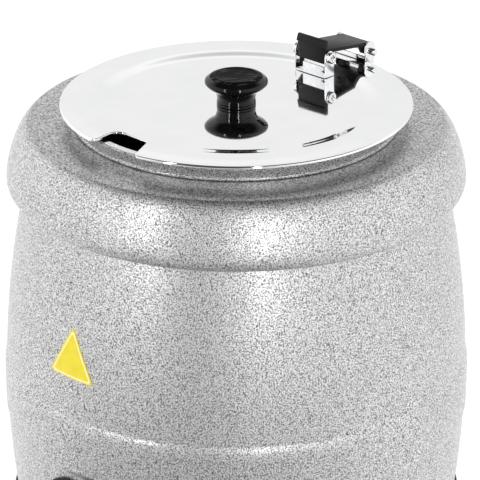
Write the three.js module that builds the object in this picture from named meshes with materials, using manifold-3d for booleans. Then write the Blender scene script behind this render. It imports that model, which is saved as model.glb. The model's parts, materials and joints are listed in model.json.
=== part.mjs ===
// Electric soup kettle, about 10 litres: a barrel body with a wet well, a lift-out pot,
// a lift-off lid ring and a hinged lid. Millimetres, +Z up, the front faces -Y,
// and the origin is on the table under the middle of the kettle.
import * as THREE from "three";
import { mergeVertices } from "three/addons/utils/BufferGeometryUtils.js";
import Module from "manifold-3d";

const wasm = await Module();
wasm.setup();

// ---- driving dimensions -------------------------------------------------------------
const GAP = 0.3; // between pieces that touch
const ROUND = 32; // sides of the large turned shells
const SMALL = 12; // sides of small turned pieces

const BELLY_Z = 120; // height of the widest part of the barrel
const BELLY_R = 170.2;
const BARREL_CURVE = 665; // radius of the barrel's side, seen from the front
const BELT_HALF = 21; // half the height of the raised belt
const BELT_RISE = 0.7;
const BODY_BOTTOM = 24;
const BODY_TOP = 288;
const SHEET = 1.2; // body sheet

const RING_TOP = 317.5; // flat top of the shoulder ring
const RING_OPENING = 109.8;
const RING_FLAT_R = 148.3;
const RING_R = 164.4;
const RING_WIDEST_Z = 279;
const RING_BOTTOM = 269.8;
const RING_SHEET = 1.5;
const RING_SHAPE = 1.3; // exponent of the shoulder's upper curve
const RING_ROLL = 8.2; // how far the lower curve rolls under
const UPPER_STEPS = 5;
const LOWER_STEPS = 3;

const WELL_R = 122;
const WELL_BOTTOM = 44;
const POT_R = 107.5;
const POT_BOTTOM = 54;
const POT_WALL = 1;
const POT_RIM_R = 113;
const POT_RIM_Z = RING_TOP + GAP;

const LID_Z = 332; // height of the lid's edge, which the hinge is set out from
const LID_R = 125.4;
const LID_SHEET = 0.8;
const LID_RISE = 0.8; // how far the lid's outer band stands above its edge
const DISH_R = 16; // the lid's middle is dished: flat in here
const DISH = 2.4; // and this far below the edge
const SHELF_R = 74; // a flat shelf from here to the outer band carries the hinge
const SHELF = 1.2;
const SHELF_OUT_R = 91;
const LID_MIDDLE_Z = LID_Z - DISH;
const LID_SHELF_Z = LID_Z - SHELF;
const NOTCH_BACK = 98.7; // distance of the ladle notch's inner edge from the middle
const NOTCH_HALF = 15.6; // half its width there
const NOTCH_LEFT_MOUTH = 13.5; // where its sides meet the lid's edge
const NOTCH_RIGHT_MOUTH = 27;
const NOTCH_TURN = -0.04; // radians from the front
const HINGE_NOTCH = 120.5; // distance of the hinge notch's inner edge from the middle

const COLLAR_FOOT_R = 115.4;
const COLLAR_TOP_R = 118.4;
const COLLAR_TOP = 328.6;
const SEAT_TOP = COLLAR_TOP + 0.2;
const SEAT_IN = 111.2; // inner radius of the lid's seat
const SEAT_LOW = 320;

const FRONT_PIN = [82.5, LID_Z + 14]; // distance from the middle, height
const REAR_PIN = [127.5, LID_Z + 7.2];
const LEVER_HALF = 13.5;
const EAR_IN = 13.9;
const EAR_OUT = 15.1;

const CONTROL_Z = 62; // height of the control knob's axis
const LAMP_TURN = 0.28; // radians from the front to the pilot lamp
const BEZEL_SCREW_X = 14;
const BEZEL_R = 31;
const BEZEL_FACE = 170.6; // distance of the bezel's face from the middle
const REACH = BEZEL_FACE + 17.8; // how far the knob and the gland stand out
const GLAND_Z = 44; // height of the cord gland's axis
const PLATE_Z = 18.5; // underside of the base plate
const FOOT_FLANGE_R = 150.5; // inner radius of the shell's bottom flange
const FOOT_RADIUS = 140;

const TAU = 2 * Math.PI;

// ---- materials ----------------------------------------------------------------------
function finish(color, roughness, metalness) {
  return new THREE.MeshStandardMaterial({ color, roughness, metalness });
}
const hammered = finish(0xb9b9b9, 0.45, 0.35);
const stainless = finish(0xd8d8d8, 0.22, 1);
const chrome = finish(0xe6e6e6, 0.08, 1);
const zinc = finish(0xb4b6b8, 0.4, 1);
const aluminium = finish(0xc4c6c8, 0.45, 1);
const copper = finish(0xb8734a, 0.35, 1);
const blackPlastic = finish(0x1d1d1d, 0.35, 0);
const blackGloss = finish(0x101010, 0.12, 0);
const rubber = finish(0x171717, 0.8, 0);
const yellow = finish(0xf5e332, 0.4, 0);
const amber = finish(0xe08a1e, 0.15, 0);
const nylon = finish(0xe9e6dc, 0.5, 0);
const wireColours = {
  wire_live: finish(0x6a3c20, 0.5, 0),
  wire_heater: finish(0xa03028, 0.5, 0),
  wire_neutral: finish(0x2a55a0, 0.5, 0),
  wire_earth: finish(0x3f9a3c, 0.5, 0),
};

// ---- geometry helpers ---------------------------------------------------------------
// A solid from a closed geometry, with its shared vertices merged and its slivers dropped.
function solid(geometry) {
  const bare = geometry.clone();
  bare.deleteAttribute("normal");
  bare.deleteAttribute("uv");
  const merged = mergeVertices(bare, 1e-4);
  const index = merged.index.array;
  const kept = [];
  for (let i = 0; i < index.length; i += 3) {
    const [a, b, c] = [index[i], index[i + 1], index[i + 2]];
    if (a !== b && b !== c && c !== a) kept.push(a, b, c);
  }
  const vertProperties = merged.attributes.position.array;
  const make = (list) =>
    new wasm.Manifold(new wasm.Mesh({ numProp: 3, vertProperties, triVerts: new Uint32Array(list) }));
  const made = make(kept);
  return made.volume() > 0 ? made : make(kept.reverse());
}

function geometryOf(made) {
  const mesh = made.getMesh();
  const geometry = new THREE.BufferGeometry();
  geometry.setAttribute("position", new THREE.BufferAttribute(mesh.vertProperties, 3));
  geometry.setIndex(new THREE.BufferAttribute(mesh.triVerts, 1));
  return geometry;
}

const join = (...pieces) => geometryOf(pieces.map(solid).reduce((a, b) => a.add(b)));
const cut = (piece, ...tools) => geometryOf(tools.map(solid).reduce((a, b) => a.subtract(b), solid(piece)));
const common = (a, b) => geometryOf(solid(a).intersect(solid(b)));

// A solid turned about +Z. A profile that leaves the axis is closed on itself.
function turned(profile, sides = ROUND) {
  const points = profile.map(([r, z]) => new THREE.Vector2(r, z));
  const onAxis = profile[0][0] === 0 && profile.at(-1)[0] === 0;
  if (!onAxis) points.push(points[0].clone());
  return geometryOf(solid(new THREE.LatheGeometry(points, sides).rotateX(Math.PI / 2)));
}

// The same, lying along +X or along -Y, and moved to a place.
const turnedAlongX = (profile, x, y, z, sides = SMALL) =>
  turned(profile, sides).rotateY(Math.PI / 2).translate(x, y, z);
const turnedToFront = (profile, x, z, sides = SMALL) =>
  turned(profile, sides).rotateX(Math.PI / 2).translate(x, 0, z);

const rod = (r, low, high) => [[0, low], [r, low], [r, high], [0, high]];

function block(x0, x1, y0, y1, z0, z1) {
  const box = new THREE.BoxGeometry(x1 - x0, y1 - y0, z1 - z0);
  return box.translate((x0 + x1) / 2, (y0 + y1) / 2, (z0 + z1) / 2);
}

const outlineShape = (points) => new THREE.Shape(points.map(([a, b]) => new THREE.Vector2(a, b)));

// An outline in the Y-Z plane, given as [y, z] points or a Shape, from x0 to x1.
function slab(outline, x0, x1) {
  const shape = Array.isArray(outline) ? outlineShape(outline) : outline;
  const body = new THREE.ExtrudeGeometry(shape, { depth: x1 - x0, bevelEnabled: false, curveSegments: 8 });
  // local x, y, z become Y, Z, X
  const [alongX, alongY, alongZ] = [[1, 0, 0], [0, 1, 0], [0, 0, 1]].map((v) => new THREE.Vector3(...v));
  const turn = new THREE.Matrix4().makeBasis(alongY, alongZ, alongX);
  return body.applyMatrix4(turn).translate(x0, 0, 0);
}

// A round tube of radius r along a curve.
function tube(curve, r, steps, sides = 5) {
  const section = new THREE.Shape();
  section.absarc(0, 0, r, 0, TAU);
  const settings = { extrudePath: curve, steps, curveSegments: sides, bevelEnabled: false };
  return new THREE.ExtrudeGeometry(section, settings);
}

function along(points) {
  const places = points.map((p) => new THREE.Vector3(...p));
  return new THREE.CatmullRomCurve3(places, false, "centripetal");
}

// ---- scene graph --------------------------------------------------------------------
const kettle = new THREE.Group();
function add(name, geometry, material, parent = kettle) {
  const mesh = new THREE.Mesh(geometry, material);
  mesh.name = name;
  parent.add(mesh);
  return mesh;
}

// ---- barrel body --------------------------------------------------------------------
// Radius of the barrel's outside at a height; the belt between the two beads stands proud.
function barrelRadius(z) {
  const side = BELLY_R - (z - BELLY_Z) ** 2 / (2 * BARREL_CURVE);
  return Math.abs(z - BELLY_Z) < BELT_HALF + 1 ? side : side - BELT_RISE;
}

function barrelHeights() {
  const below = [BODY_BOTTOM, 60, BELLY_Z - BELT_HALF - 2, BELLY_Z - BELT_HALF + 1];
  const above = [BELLY_Z + BELT_HALF - 1, BELLY_Z + BELT_HALF + 2, 180, 220, 256, BODY_TOP];
  return [...below, ...above];
}

const bothSides = (make) => [make(1), make(-1)];
const bezelScrewHoles = () =>
  bothSides((s) => turnedToFront(rod(2.2, 140, 180), s * BEZEL_SCREW_X, CONTROL_Z, 8));

function makeBody() {
  const outside = barrelHeights().map((z) => [barrelRadius(z), z]);
  const inside = barrelHeights().map((z) => [barrelRadius(z) - SHEET, z]).reverse();
  inside.at(-1)[1] = BODY_BOTTOM + SHEET;
  const outsideTop = [outside.at(-1)[0], BODY_TOP + SHEET];
  const topFlange = [outsideTop, [WELL_R + 2, BODY_TOP + SHEET], [WELL_R + 2, BODY_TOP]];
  const footFlange = [[FOOT_FLANGE_R, BODY_BOTTOM + SHEET], [FOOT_FLANGE_R, BODY_BOTTOM]];
  const shell = turned([...outside, ...topFlange, ...inside, ...footFlange]);
  const shaftHole = turnedToFront(rod(7, 140, 180), 0, CONTROL_Z);
  const lampHole = turnedToFront(rod(5.2, 140, 180), 0, CONTROL_Z).rotateZ(LAMP_TURN);
  const glandHole = turnedToFront(rod(8.4, -180, -150), 0, GLAND_Z);
  return cut(shell, shaftHole, lampHole, ...bezelScrewHoles(), glandHole);
}
add("body_shell", makeBody(), hammered);

// ---- shoulder ring ------------------------------------------------------------------
// The upper quarter curves from the flat top to the widest part, the lower one rolls under.
function shoulderCurve(inset) {
  const points = [];
  const rise = RING_TOP - RING_WIDEST_Z - inset;
  const reach = RING_R - RING_FLAT_R;
  for (let i = 0; i <= UPPER_STEPS; i++) {
    const a = (Math.PI / 2) * (1 - i / UPPER_STEPS);
    const r = RING_FLAT_R - inset + reach * Math.cos(a) ** RING_SHAPE;
    points.push([r, RING_WIDEST_Z + rise * Math.sin(a) ** RING_SHAPE]);
  }
  for (let i = 1; i <= LOWER_STEPS; i++) {
    const a = (Math.PI / 2) * (i / LOWER_STEPS);
    const roll = RING_ROLL - inset / 2;
    const drop = RING_WIDEST_Z - RING_BOTTOM - inset;
    points.push([RING_R - inset - roll + roll * Math.cos(a), RING_WIDEST_Z - drop * Math.sin(a)]);
  }
  return points;
}
const shoulderOutside = [[RING_OPENING, 300], [RING_OPENING, RING_TOP], ...shoulderCurve(0)];
const shoulderInside = [...shoulderCurve(RING_SHEET).reverse(),
  [RING_OPENING + RING_SHEET, RING_TOP - RING_SHEET], [RING_OPENING + RING_SHEET, 300]];
const shoulderFoot = [[153.6, RING_BOTTOM], [153.6, RING_BOTTOM + RING_SHEET]];
add("top_ring", turned([...shoulderOutside, ...shoulderFoot, ...shoulderInside]), hammered);

for (let i = 0; i < 3; i++) {
  const a = TAU * (i / 3) + Math.PI / 6;
  const post = turned(rod(4, 290.5 + GAP, RING_TOP - RING_SHEET - GAP), SMALL);
  add("ring_post_" + (i + 1), post.translate(133 * Math.cos(a), 133 * Math.sin(a), 0), zinc);
}

// ---- water well and lift-out pot ----------------------------------------------------
const wellRim = BODY_TOP + SHEET + GAP;
const well = turned([
  [0, WELL_BOTTOM], [WELL_R - 10, WELL_BOTTOM], [WELL_R, WELL_BOTTOM + 10], [WELL_R, wellRim],
  [140, wellRim], [140, wellRim + 1], [WELL_R - 1, wellRim + 1], [WELL_R - 1, WELL_BOTTOM + 10.5],
  [WELL_R - 10.5, WELL_BOTTOM + 1], [0, WELL_BOTTOM + 1],
]);
add("water_well", well, stainless);

const potIn = POT_R - POT_WALL;
const pot = turned([
  [0, POT_BOTTOM], [POT_R - 10, POT_BOTTOM], [POT_R - 3, POT_BOTTOM + 3], [POT_R, POT_BOTTOM + 10],
  [POT_R, POT_RIM_Z], [POT_RIM_R, POT_RIM_Z], [POT_RIM_R, POT_RIM_Z + POT_WALL],
  [potIn, POT_RIM_Z + POT_WALL], [potIn, POT_BOTTOM + 10.5], [potIn - 3, POT_BOTTOM + 4],
  [potIn - 9.5, POT_BOTTOM + POT_WALL], [0, POT_BOTTOM + POT_WALL],
]);
add("inner_pot", pot, stainless);

// ---- lid ring: hammered collar, steel seat, hinge bracket ---------------------------
const collarSlope = (COLLAR_TOP_R - COLLAR_FOOT_R) / (COLLAR_TOP - RING_TOP - 2);
const collarRadius = (z) => COLLAR_FOOT_R + (z - RING_TOP - 2) * collarSlope;
const collarFoot = RING_TOP + GAP;
const RIM_RIVET_XS = [-5, 5];
const rivetHoles = RIM_RIVET_XS.map((x) => turnedToFront(rod(1.9, -128, -112), x, LID_Z - 8, 10));
const collar = turned([
  [POT_RIM_R + 0.8, collarFoot], [COLLAR_FOOT_R, collarFoot], [COLLAR_FOOT_R + 0.8, collarFoot + 0.8],
  [COLLAR_FOOT_R, RING_TOP + 2], [COLLAR_TOP_R, COLLAR_TOP - 0.6], [COLLAR_TOP_R - 0.5, COLLAR_TOP],
  [COLLAR_TOP_R - 1.3, COLLAR_TOP], [POT_RIM_R + 0.8, RING_TOP + 2],
]);
add("lid_ring", cut(collar, ...rivetHoles), hammered);

const seatOut = COLLAR_TOP_R - 1.7;
add("lid_seat", turned([
  [SEAT_IN, SEAT_LOW], [SEAT_IN + 1, SEAT_LOW], [SEAT_IN + 1, SEAT_TOP - 1], [seatOut, SEAT_TOP - 1],
  [seatOut, SEAT_TOP], [SEAT_IN, SEAT_TOP],
]), stainless);

// Outline of a bracket ear: a strip with a round top.
function earOutline(y0, y1, low, topCentre) {
  const r = (y1 - y0) / 2;
  const shape = new THREE.Shape();
  shape.moveTo(y0, low);
  shape.lineTo(y1, low);
  shape.lineTo(y1, topCentre);
  shape.absarc((y0 + y1) / 2, topCentre, r, 0, Math.PI, false);
  shape.closePath();
  return shape;
}
const pinHole = ([y, z], r) => turnedAlongX(rod(r, -22, 22), 0, y, z, 12);

// The two ears of a bracket, from one outline.
function bothEars(outline) {
  return bothSides((s) => {
    const [x0, x1] = [s * EAR_IN, s * EAR_OUT].sort((a, b) => a - b);
    return slab(outline, x0, x1);
  });
}

function makeRimBracket() {
  const ears = bothEars(earOutline(121.6, 132, LID_Z - 3, LID_Z + 10));
  const web = block(-EAR_OUT, EAR_OUT, 121.6, 122.8, LID_Z - 3, LID_Z + 4.2);
  const pad = block(-9, 9, 112, 122.8, LID_Z - 12.5, LID_Z - 2.2);
  const clearOf = (z) => [collarRadius(z) + GAP, z];
  const collarSpace = turned([[0, LID_Z - 16], clearOf(LID_Z - 16), clearOf(LID_Z), [0, LID_Z]]);
  return cut(join(web, ...ears, cut(pad, collarSpace)), pinHole(REAR_PIN, 1.9), ...rivetHoles);
}
add("rim_bracket", makeRimBracket(), chrome);

RIM_RIVET_XS.forEach((x, i) => {
  const head = [[0, -124.4], [2.4, -124.4], [2.9, -123.1], [1.6, -123.1]];
  const tail = [[1.6, -113.7], [2.6, -113.7], [2.2, -112.5], [0, -112.5]];
  add("rim_rivet_" + (i + 1), turnedToFront([...head, ...tail], x, LID_Z - 8, 10), zinc);
});

// A headed pin along X and the cap nut on its other end.
function headedPin(place, r, headR, headLength, shankEnd) {
  const face = EAR_OUT + GAP;
  const top = face + headLength;
  const shank = [[0, -shankEnd], [r, -shankEnd], [r, face]];
  const head = [[headR, face], [headR, top - 0.9], [headR - 0.9, top], [0, top]];
  return turnedAlongX([...shank, ...head], 0, ...place);
}
function capNut(place, hole, outer, length) {
  const face = -EAR_OUT - GAP;
  const end = face - length;
  const profile = [[hole, face], [outer, face], [outer, end + 0.9], [outer - 0.9, end], [hole, end]];
  return turnedAlongX(profile, 0, ...place);
}
add("rear_pin", headedPin(REAR_PIN, 1.6, 2.7, 4.6, 18.5), chrome);
add("rear_pin_nut", capNut(REAR_PIN, 1.9, 2.9, 3.4), chrome);

// ---- hinge lever --------------------------------------------------------------------
function makeLever() {
  const [fy, fz] = FRONT_PIN;
  const [ry, rz] = REAR_PIN;
  // outlines as [distance from the middle, height above the lid]
  const raised = (points) => points.map(([y, h]) => [y, LID_Z + h]);
  const proudLip = [[77.6, 26.9], [77.6, 21.7], [78.9, 21.1]];
  const frontOutline = raised([[78.9, 8.9], [81.9, 8.9], [81.9, 26.9], ...proudLip]);
  const topOutline = raised([[81, 17.2], [128.8, 11], [128.8, 13.7], [81, 20]]);
  const ribOutline = [[81, fz - 3], [fy + 3.4, fz - 2], ...raised([[fy + 8, 17.5], [81, 19]])];
  const lugTip = [[ry + 3.6, rz + 0.6], [ry + 2.4, rz - 2.6], [ry, rz - 3.6], [ry - 2.6, rz - 2.4]];
  const lugOutline = [...raised([[121, 12.6], [129, 12]]), ...lugTip];
  const frontPlate = slab(frontOutline, -LEVER_HALF, LEVER_HALF);
  const topPlate = slab(topOutline, -LEVER_HALF, LEVER_HALF);
  const ribs = bothSides((s) => slab(ribOutline, s * (LEVER_HALF - 1) - 1, s * (LEVER_HALF - 1) + 1));
  const frontBoss = turnedAlongX(rod(3.4, -LEVER_HALF, LEVER_HALF), 0, fy, fz);
  const rearLugs = bothSides((s) => slab(lugOutline, s * 10 - 3.4, s * 10 + 3.4));
  const whole = join(frontPlate, topPlate, ...ribs, frontBoss, ...rearLugs);
  return cut(whole, pinHole(FRONT_PIN, 2.1), pinHole(REAR_PIN, 1.9));
}
add("hinge_lever", makeLever(), blackPlastic);

// ---- lid ----------------------------------------------------------------------------
const lidRivetPlaces = [[-7, 85], [7, 85]];
const rivetBores = (low, high) =>
  lidRivetPlaces.map(([x, y]) => turned(rod(1.9, low, high), 10).translate(x, y, 0));

// A closed outline from [x, y, reach] corners; each is rounded off over its reach.
function roundedShape(corners) {
  const shape = new THREE.Shape();
  const places = corners.map(([x, y]) => new THREE.Vector2(x, y));
  places.forEach((corner, i) => {
    const reach = corners[i][2];
    const before = places.at(i - 1).clone().sub(corner).setLength(reach).add(corner);
    const after = places[(i + 1) % places.length].clone().sub(corner).setLength(reach).add(corner);
    if (i === 0) shape.moveTo(before.x, before.y);
    else shape.lineTo(before.x, before.y);
    if (reach > 0) shape.quadraticCurveTo(corner.x, corner.y, after.x, after.y);
  });
  shape.closePath();
  return shape;
}

// The ladle notch seen from above, before it is turned into place: its mouth flares to the right.
function notchOutline() {
  const rimY = (x) => -Math.sqrt(LID_R ** 2 - x ** 2);
  const edge = 25 / LID_R; // how far the outline follows the lid's edge to each side
  const [left, right] = [-NOTCH_LEFT_MOUTH, NOTCH_RIGHT_MOUTH];
  return roundedShape([
    [left + rimY(left) * edge, rimY(left) - left * edge, 0], [left, rimY(left), 4],
    [-NOTCH_HALF, -NOTCH_BACK, 9], [NOTCH_HALF, -NOTCH_BACK, 2],
    [right, rimY(right), 3], [right - rimY(right) * edge, rimY(right) + right * edge, 0],
    [60, -150, 0], [-50, -150, 0],
  ]);
}

function makeLid() {
  const edge = [[123.4, 0], [LID_R - 0.3, -1], [LID_R, -2.2]];
  const band = [[SHELF_OUT_R + 12, 0.65], [110, LID_RISE], [117, LID_RISE]];
  const dish = [[2.6, -DISH], [DISH_R, -DISH], [SHELF_R, -SHELF], [SHELF_OUT_R, -SHELF]];
  const top = [...dish, ...band, ...edge].map(([r, h]) => [r, LID_Z + h]);
  const under = top.map(([r, z]) => [r, z - LID_SHEET]).reverse();
  under[0] = [LID_R - LID_SHEET, LID_Z - 2.2];
  under[1] = [LID_R - LID_SHEET - 0.3, LID_Z - 1.6];
  const sheet = turned([...top, ...under]);
  const depth = 20;
  const settings = { depth, bevelEnabled: false, curveSegments: 6 };
  const ladleNotch = new THREE.ExtrudeGeometry(notchOutline(), settings);
  ladleNotch.translate(0, 0, LID_Z - depth / 2).rotateZ(NOTCH_TURN);
  const hingeNotch = block(-16.5, 16.5, HINGE_NOTCH, 140, LID_Z - depth / 2, LID_Z + depth / 2);
  return cut(sheet, ladleNotch, hingeNotch, ...rivetBores(LID_SHELF_Z - 5, LID_SHELF_Z + 5));
}
add("lid", makeLid(), stainless);

// radius and height above the lid's middle, from the foot up to the dished top and down the screw's bore
const knobFoot = [[2.6, GAP], [14, GAP], [13.8, 1.9], [13.4, 2.1], [13.8, 2.3]];
const knobNeck = [[13.6, 5], [14.2, 8], [15.6, 10.6], [19.6, 13.4]];
const knobCap = [[22.1, 15.8], [22.5, 17.4], [21.4, 19.4], [18.6, 21], [15.6, 21.8], [14.4, 21.5], [0, 21.2]];
const knobBore = [[0, 14.6], [2.6, 14.6]];
const knobProfile = [...knobFoot, ...knobNeck, ...knobCap, ...knobBore];
const lidKnob = turned(knobProfile, 24).translate(0, 0, LID_MIDDLE_Z);
add("lid_knob", lidKnob, blackGloss);

const headTop = -LID_SHEET - GAP;
const screwHead = [[0, headTop - 2.8], [4.4, headTop - 2.8], [5.8, headTop - 1.4], [5.8, headTop]];
const screwShank = [[2.3, headTop], [2.3, 14], [0, 14]];
add("knob_screw", turned([...screwHead, ...screwShank], SMALL).translate(0, 0, LID_MIDDLE_Z), zinc);

function makeLidBracket() {
  const low = LID_SHELF_Z + GAP;
  const ears = bothEars(earOutline(77.7, 87.3, low, FRONT_PIN[1]));
  const web = block(-6.5, EAR_OUT, 77.2, 78.4, low, LID_Z + 8.3);
  const foot = block(-EAR_IN - 0.5, EAR_IN + 0.5, 77.2, 88, low, low + 1.2);
  return cut(join(web, foot, ...ears), pinHole(FRONT_PIN, 2.1), ...rivetBores(LID_SHELF_Z, LID_SHELF_Z + 3));
}
add("lid_bracket", makeLidBracket(), chrome);

lidRivetPlaces.forEach(([x, y], i) => {
  const under = LID_SHELF_Z - LID_SHEET - GAP;
  const over = LID_SHELF_Z + 2 * GAP + 1.2;
  const tail = [[0, under - 1.2], [2.4, under - 1.2], [3, under], [1.6, under]];
  const head = [[1.6, over], [3, over], [2.2, over + 1.2], [0, over + 1.2]];
  add("lid_rivet_" + (i + 1), turned([...tail, ...head], 10).translate(x, y, 0), zinc);
});
add("front_pin", headedPin(FRONT_PIN, 1.8, 4.3, 2.6, 18), chrome);
add("front_pin_nut", capNut(FRONT_PIN, 2.1, 4.2, 3), chrome);

// ---- triangular label ---------------------------------------------------------------
function makeTriangle() {
  const outline = outlineShape([[-21, 172.4], [21, 172.4], [0, 210]]);
  const prism = new THREE.ExtrudeGeometry(outline, { depth: 30, bevelEnabled: false });
  prism.rotateX(Math.PI / 2).translate(0, -150, 0);
  const heights = [165, 180, 216];
  const skin = turned([...heights.map((z) => [barrelRadius(z) + 0.7, z]),
    ...heights.map((z) => [barrelRadius(z) + 0.35, z]).reverse()]);
  return common(prism, skin);
}
add("label_triangle", makeTriangle(), yellow);

// ---- base ---------------------------------------------------------------------------
add("base_ring", turned([
  [150, 20], [160.5, 20], [160.5, 8], [163.5, 8], [165.8, 12], [165.8, 26.5], [165, 28], [163.7, 28],
  [163.7, BODY_BOTTOM - GAP], [150, BODY_BOTTOM - GAP],
]), blackPlastic);

const footPlaces = [45, 135, 225, 315].map((degrees) => {
  const a = THREE.MathUtils.degToRad(degrees);
  return [FOOT_RADIUS * Math.cos(a), FOOT_RADIUS * Math.sin(a)];
});
const drill = (r, x, y) => turned(rod(r, PLATE_Z - 5, PLATE_Z + 5), 10).translate(x, y, 0);
const vents = [...Array(8)].map((_, i) => {
  const a = TAU * ((i + 0.5) / 8);
  return drill(5, 70 * Math.cos(a), 70 * Math.sin(a));
});
const plate = turned(rod(159.5, PLATE_Z, PLATE_Z + 1.2));
add("base_plate", cut(plate, ...vents, ...footPlaces.map(([x, y]) => drill(2.5, x, y))), zinc);

footPlaces.forEach(([x, y], i) => {
  const footTop = PLATE_Z - GAP;
  const outside = [[5, 0], [10.6, 0], [11.6, 1.4], [12.5, footTop]];
  const foot = turned([...outside, [2.5, footTop], [2.5, 9.5], [5, 9.5]], SMALL);
  add("foot_" + (i + 1), foot.translate(x, y, 0), rubber);
  const screw = turned([[0, 5.4], [3.6, 5.4], [4.5, 6.4], [4.5, 9.2], [2.1, 9.2], [2.1, 24], [0, 24]], 10);
  add("foot_screw_" + (i + 1), screw.translate(x, y, 0), zinc);
});

for (let i = 0; i < 3; i++) {
  const a = TAU * (i / 3) + Math.PI / 2;
  const stay = turned(rod(3, PLATE_Z + 1.2 + GAP, WELL_BOTTOM - GAP), 10);
  add("well_stay_" + (i + 1), stay.translate(103 * Math.cos(a), 103 * Math.sin(a), 0), zinc);
}

// ---- heater under the well ----------------------------------------------------------
const spreaderTop = WELL_BOTTOM - GAP;
add("heat_spreader", turned(rod(95, spreaderTop - 3, spreaderTop), 32), aluminium);
const ELEMENT_R = 72;
const ELEMENT_TUBE = 3.3;
const elementZ = spreaderTop - 3 - GAP - ELEMENT_TUBE;
const ELEMENT_OPEN = 0.16; // radians either side of the rear, where the element's ends are

class ElementArc extends THREE.Curve {
  getPoint(t, target = new THREE.Vector3()) {
    const a = Math.PI / 2 + ELEMENT_OPEN + t * (TAU - 2 * ELEMENT_OPEN);
    return target.set(ELEMENT_R * Math.cos(a), ELEMENT_R * Math.sin(a), elementZ);
  }
}
const elementEnds = [1, -1].map((s) => {
  const a = Math.PI / 2 + s * ELEMENT_OPEN;
  return [ELEMENT_R * Math.cos(a), ELEMENT_R * Math.sin(a)];
});
const tail = rod(2.2, 27.4, elementZ + 1);
const elementTails = elementEnds.map(([x, y]) => turned(tail, 8).translate(x, y, 0));
add("heating_element", join(tube(new ElementArc(), ELEMENT_TUBE, 24, 6), ...elementTails), stainless);

const clampTop = elementZ - ELEMENT_TUBE - GAP;
const clampBar = block(-84, 84, -7, 7, clampTop - 1.5, clampTop);
add("element_clamp", cut(clampBar, turned(rod(2.9, 20, 40), 10)), zinc);
add("clamp_stud", turned(rod(2.5, clampTop - 7, spreaderTop - 3 - GAP), 10), zinc);
const hexNut = (hole, outer, low, high) => [[hole, low], [outer, low], [outer, high], [hole, high]];
add("clamp_nut", turned(hexNut(3.2, 5.2, clampTop - 5.6, clampTop - 1.8), 6), zinc);
const cutoutTop = spreaderTop - 3 - GAP;
const cutoutLow = elementZ - 3;
const cutout = [[0, cutoutLow], [6, cutoutLow], [8, cutoutLow + 2], [8, cutoutTop], [0, cutoutTop]];
add("thermal_cutout", turned(cutout, SMALL).translate(0, 36, 0), nylon);

// ---- controls at the front ----------------------------------------------------------
const bezelFront = [[BEZEL_R, BEZEL_FACE - 1], [BEZEL_R - 1, BEZEL_FACE], [7, BEZEL_FACE]];
const bezelBlank = turnedToFront([[7, 150], [BEZEL_R, 150], ...bezelFront], 0, CONTROL_Z, 28);
const besideBarrel = [20, 60, 96].map((z) => [barrelRadius(z) + GAP, z]);
const barrelSpace = turned([[0, 20], ...besideBarrel, [0, 96]]);
add("control_bezel", cut(bezelBlank, barrelSpace, ...bezelScrewHoles()), blackPlastic);

const thermostat = join(block(-17, 17, -157, -132, CONTROL_Z - 17, CONTROL_Z + 17),
  turnedToFront(rod(5, 150, 161), 0, CONTROL_Z));
add("thermostat_body", thermostat, nylon);
[-BEZEL_SCREW_X, BEZEL_SCREW_X].forEach((x, i) => {
  const face = BEZEL_FACE + GAP;
  const shank = [[0, 157 + GAP], [1.9, 157 + GAP], [1.9, face]];
  const head = [[3.4, face], [2.8, face + 1.5], [0, face + 1.5]];
  add("bezel_screw_" + (i + 1), turnedToFront([...shank, ...head], x, CONTROL_Z, 10), zinc);
});

const knobBack = BEZEL_FACE + 0.8;
const gripHeight = REACH - knobBack - 6;
const skirtInside = [[0, knobBack + 2.4], [18, knobBack + 2.4], [18, knobBack]];
const skirtOutside = [[20.5, knobBack], [20, knobBack + 5], [17.5, knobBack + 6.4], [0, knobBack + 6.4]];
const knobSkirt = turnedToFront([...skirtInside, ...skirtOutside], 0, CONTROL_Z, 28);
const gripOutline = new THREE.Shape();
gripOutline.absarc(0, 14.5, 3.6, 0, Math.PI, false);
gripOutline.absarc(0, -14.5, 3.6, Math.PI, TAU, false);
gripOutline.closePath();
const gripSettings = { depth: gripHeight, bevelEnabled: false, curveSegments: 5 };
const grip = new THREE.ExtrudeGeometry(gripOutline, gripSettings);
grip.rotateX(Math.PI / 2).translate(0, -knobBack - 6, CONTROL_Z);
const shaftBore = turnedToFront(rod(3.3, knobBack, knobBack + 12), 0, CONTROL_Z, 12);
add("control_knob", cut(join(knobSkirt, grip), shaftBore), blackPlastic);
add("thermostat_shaft", turnedToFront(rod(3, 161 + GAP, knobBack + 11.5), 0, CONTROL_Z, 12), aluminium);

const lampSeat = barrelRadius(CONTROL_Z) + GAP;
const lampStem = [[0, 158], [4.9, 158], [4.9, lampSeat]];
const lampLens = [[6.6, lampSeat], [6.4, lampSeat + 1.4], [4.4, lampSeat + 3.2], [0, lampSeat + 4]];
add("pilot_lamp", turnedToFront([...lampStem, ...lampLens], 0, CONTROL_Z).rotateZ(LAMP_TURN), amber);
add("lamp_holder", turnedToFront(rod(4.6, 140, 157.7), 0, CONTROL_Z).rotateZ(LAMP_TURN), nylon);

const BULB_R = WELL_R + 3.4; // distance of the sensing bulb from the middle
const BULB_TURN = 0.32;
const bulbPlace = [BULB_R * Math.sin(BULB_TURN), -BULB_R * Math.cos(BULB_TURN)];
add("thermostat_bulb", turned(rod(2.9, 78, 138), 10).translate(...bulbPlace, 0), copper);
const capillary = [[8, -140, CONTROL_Z + 17.4], [9, -141, 100], [24, -138, 128], [36, -127, 146]];
add("capillary_tube", tube(along([...capillary, [...bulbPlace, 139]]), 0.9, 12), copper);

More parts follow.
